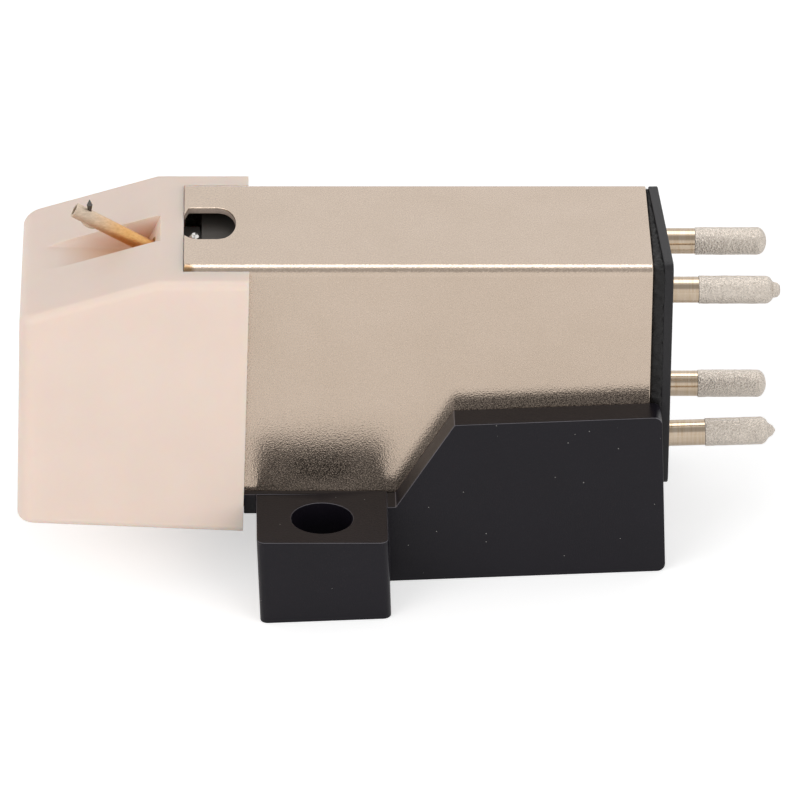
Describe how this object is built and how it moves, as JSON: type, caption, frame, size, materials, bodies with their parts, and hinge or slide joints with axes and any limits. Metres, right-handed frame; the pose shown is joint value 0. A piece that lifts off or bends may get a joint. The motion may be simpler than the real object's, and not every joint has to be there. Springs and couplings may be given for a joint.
{
  "type": "phono cartridge with stylus",
  "caption": "Moving-magnet pickup cartridge with a pull-off stylus, a metal shield can, a bracket with two mounting lugs and terminal pins at the rear.",
  "frame": {"origin": "midway between the two mounting holes, on the mounting face", "axes": "+X back towards the terminal pins, +Y across the body, +Z from the mounting face towards the stylus tip"},
  "size_m": [0.0329, 0.017, 0.0163],
  "materials": {
    "bracket_plastic": "moulded black plastic, fine satin skin",
    "can_sheet": "drawn sheet with a fine satin nickel plating",
    "holder_plastic": "moulded pale pink-beige plastic, slightly translucent",
    "block_plastic": "moulded black plastic",
    "sleeve_brass": "drawn brass tube",
    "damper_rubber": "soft moulded rubber",
    "cantilever_tube": "gold-anodised aluminium tube",
    "tip_stone": "ground and polished crystal",
    "magnet_metal": "sintered magnet",
    "wire_steel": "fine drawn wire",
    "screw_steel": "bright turned screw",
    "pole_metal": "annealed nickel-iron sheet",
    "coil_wire": "enamelled copper winding",
    "potting_resin": "cast black resin",
    "plate_laminate": "stamped black laminate",
    "pin_metal": "nickel-plated pin with a tinned end"
  },
  "bodies": {
    "body": {"mounting_bracket": "bracket_plastic", "shield_can": "can_sheet", "coil_carrier": "block_plastic", "pole_piece_near_upper": "pole_metal", "pole_piece_near_lower": "pole_metal", "pole_piece_far_upper": "pole_metal", "pole_piece_far_lower": "pole_metal", "bobbin_near": "block_plastic", "bobbin_far": "block_plastic", "coil_near": "coil_wire", "coil_far": "coil_wire", "coil_leads": "coil_wire", "potting": "potting_resin", "terminal_plate": "plate_laminate", "terminal_pin_far_upper": "pin_metal", "terminal_pin_near_upper": "pin_metal", "terminal_pin_far_lower": "pin_metal", "terminal_pin_near_lower": "pin_metal"},
    "stylus_unit": {"stylus_holder": "holder_plastic", "suspension_block": "block_plastic", "pivot_sleeve": "sleeve_brass", "tie_wire": "wire_steel", "wire_plug": "sleeve_brass", "set_screw": "screw_steel"},
    "damper": {"damper": "damper_rubber"},
    "cantilever": {"cantilever": "cantilever_tube", "stylus_tip": "tip_stone", "magnet": "magnet_metal"}
  },
  "joints": [
    {"name": "stylus_slide", "type": "slide", "parent": "body", "child": "stylus_unit", "axis": [-0.9991, 0, 0.0419], "range_m": [0, 0.006]},
    {"name": "cantilever_sideways", "type": "hinge", "parent": "stylus_unit", "child": "damper", "pos_m": [-0.00463, 0, 0.0124], "axis": [0.5314, 0, 0.8471], "range_deg": [-2.5, 2.5], "stiffness_Nm_per_rad": 0.0015},
    {"name": "cantilever_up_down", "type": "hinge", "parent": "damper", "child": "cantilever", "pos_m": [-0.00463, 0, 0.0124], "axis": [0, 1, 0], "range_deg": [-2.5, 2.5], "stiffness_Nm_per_rad": 0.0015}
  ]
}
